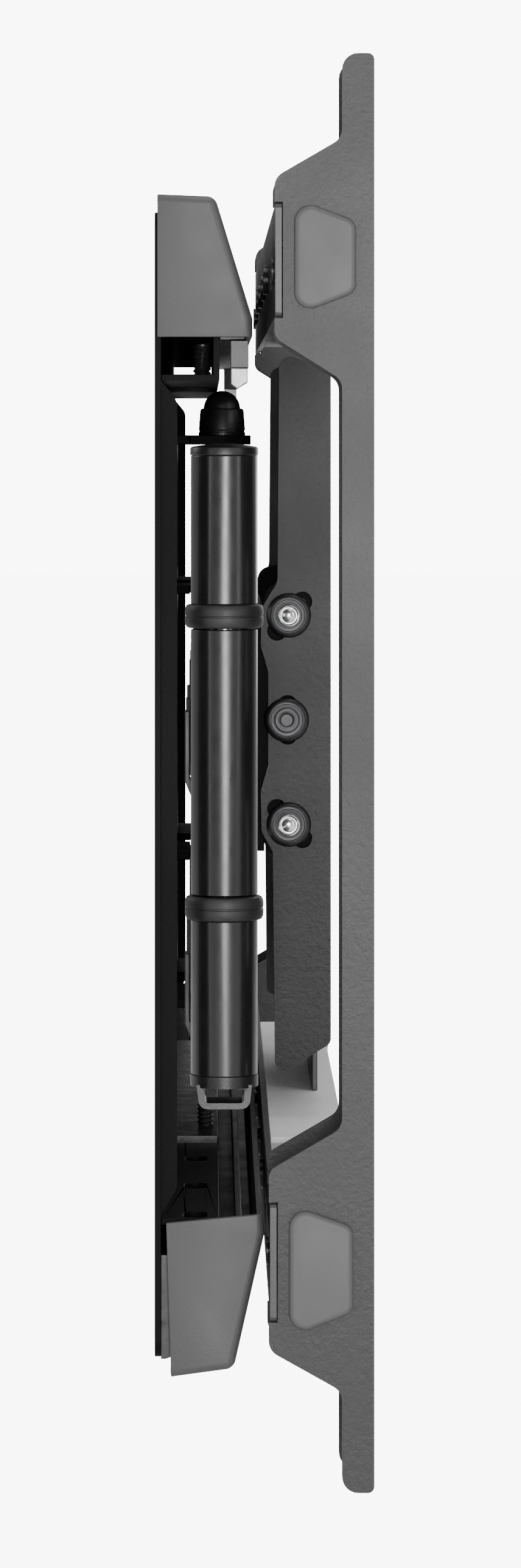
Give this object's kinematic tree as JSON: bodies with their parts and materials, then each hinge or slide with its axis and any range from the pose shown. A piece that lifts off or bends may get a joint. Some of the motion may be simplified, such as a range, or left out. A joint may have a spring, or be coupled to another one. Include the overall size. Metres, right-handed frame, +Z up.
{
  "type": "full motion TV wall mount",
  "caption": "Slim full motion TV wall mount, stored flat: slotted wall plate, folding arms, tilting head, sliding brackets with a TV bolt pattern.",
  "frame": {"origin": "on the wall plane (the back face of the wall plate), midway between the two TV brackets, at the height of the centre of the TV bolt pattern", "axes": "+X along the wall to the right as seen from the room, -Y out of the wall into the room, +Z up"},
  "size_m": [0.6452, 0.0673, 0.44],
  "materials": {
    "dark_frame": "satin powder coat",
    "arm_black": "satin powder coat",
    "bracket_grey": "fine-textured powder coat",
    "tilt_grey": "fine-textured powder coat",
    "rail_grey": "satin powder coat",
    "cover_plastic": "fine-textured",
    "pad_plastic": "fine-textured",
    "black_plastic": "satin",
    "clear_plastic": "clear, glossy",
    "flange_grey": "satin light grey",
    "ring_rubber": "matte",
    "pin_steel": "bright",
    "black_steel": "black oxide",
    "disc_steel": "satin"
  },
  "bodies": {
    "wall_unit": {"wall_plate": "dark_frame", "plate_end_ribs": "dark_frame", "top_shelf": "dark_frame", "bottom_shelf": "dark_frame", "bottom_mount_strip": "black_steel", "pivot_bracket_left": "dark_frame", "pivot_bracket_right": "dark_frame", "wall_pivot_pins": "pin_steel", "pivot_dome_caps": "black_plastic", "bracket_screws": "black_steel", "top_cover": "cover_plastic", "bottom_cover": "cover_plastic", "cover_strips": "black_plastic", "clear_clips": "clear_plastic", "shelf_plate": "black_steel"},
    "inner_arm_left": {"upper_bar_left": "arm_black", "lower_bar_left": "arm_black", "elbow_pin_left": "pin_steel", "elbow_rings_left": "ring_rubber", "elbow_cap_left": "black_plastic", "elbow_foot_left": "black_plastic", "lower_clips_left": "black_plastic"},
    "outer_arm_left": {"outer_arm_left": "arm_black", "cable_clips_left": "black_plastic"},
    "inner_arm_right": {"upper_bar_right": "arm_black", "lower_bar_right": "arm_black", "elbow_pin_right": "pin_steel", "elbow_rings_right": "ring_rubber", "elbow_cap_right": "black_plastic", "elbow_foot_right": "black_plastic", "lower_clips_right": "black_plastic"},
    "outer_arm_right": {"outer_arm_right": "arm_black", "cable_clips_right": "black_plastic"},
    "head": {"head_yoke": "dark_frame", "head_pins": "pin_steel", "tilt_bolts": "pin_steel", "tilt_discs": "disc_steel", "tension_screws": "disc_steel"},
    "tilt_unit": {"tilt_frame": "tilt_grey", "level_pivot": "pin_steel", "level_screws": "black_steel"},
    "crossbars": {"level_plate": "rail_grey", "upper_rail": "rail_grey", "lower_rail": "rail_grey", "upper_channel": "rail_grey", "lower_channel": "flange_grey", "rail_rivets": "black_steel"},
    "bracket_left": {"tv_bracket_left": "bracket_grey", "bracket_pads_left": "pad_plastic", "clamp_plates_left": "dark_frame", "clamp_bolts_left": "black_steel"},
    "bracket_right": {"tv_bracket_right": "bracket_grey", "bracket_pads_right": "pad_plastic", "clamp_plates_right": "dark_frame", "clamp_bolts_right": "black_steel"}
  },
  "joints": [
    {"name": "extend", "type": "hinge", "parent": "wall_unit", "child": "inner_arm_left", "pos_m": [-0.045, -0.0215, 0], "axis": [0, 0, 1], "range_deg": [0, 75]},
    {"name": "elbow_left", "type": "hinge", "parent": "inner_arm_left", "child": "outer_arm_left", "pos_m": [-0.29, -0.0215, 0], "axis": [0, 0, 1], "range_deg": [-150, 0]},
    {"name": "head_left", "type": "hinge", "parent": "outer_arm_left", "child": "head", "pos_m": [-0.045, -0.0215, 0], "axis": [0, 0, 1], "range_deg": [0, 75]},
    {"name": "extend_right", "type": "hinge", "parent": "wall_unit", "child": "inner_arm_right", "pos_m": [0.045, -0.0215, 0], "axis": [0, 0, 1], "range_deg": [-75, 0]},
    {"name": "elbow_right", "type": "hinge", "parent": "inner_arm_right", "child": "outer_arm_right", "pos_m": [0.29, -0.0215, 0], "axis": [0, 0, 1], "range_deg": [0, 150]},
    {"name": "tilt", "type": "hinge", "parent": "head", "child": "tilt_unit", "pos_m": [0, -0.086, 0.0055], "axis": [1, 0, 0], "range_deg": [-2.5, 0]},
    {"name": "level", "type": "hinge", "parent": "tilt_unit", "child": "crossbars", "pos_m": [0, -0.062, 0.0055], "axis": [0, 1, 0], "range_deg": [-2, 2]},
    {"name": "bracket_left_slide", "type": "slide", "parent": "crossbars", "child": "bracket_left", "axis": [1, 0, 0], "range_m": [0, 0.1]},
    {"name": "bracket_right_slide", "type": "slide", "parent": "crossbars", "child": "bracket_right", "axis": [-1, 0, 0], "range_m": [0, 0.1]}
  ],
  "couplings": [
    {"joint": "elbow_left", "follows": "extend", "ratio": -2},
    {"joint": "head_left", "follows": "extend", "ratio": 1},
    {"joint": "extend_right", "follows": "extend", "ratio": -1},
    {"joint": "elbow_right", "follows": "extend", "ratio": 2}
  ]
}
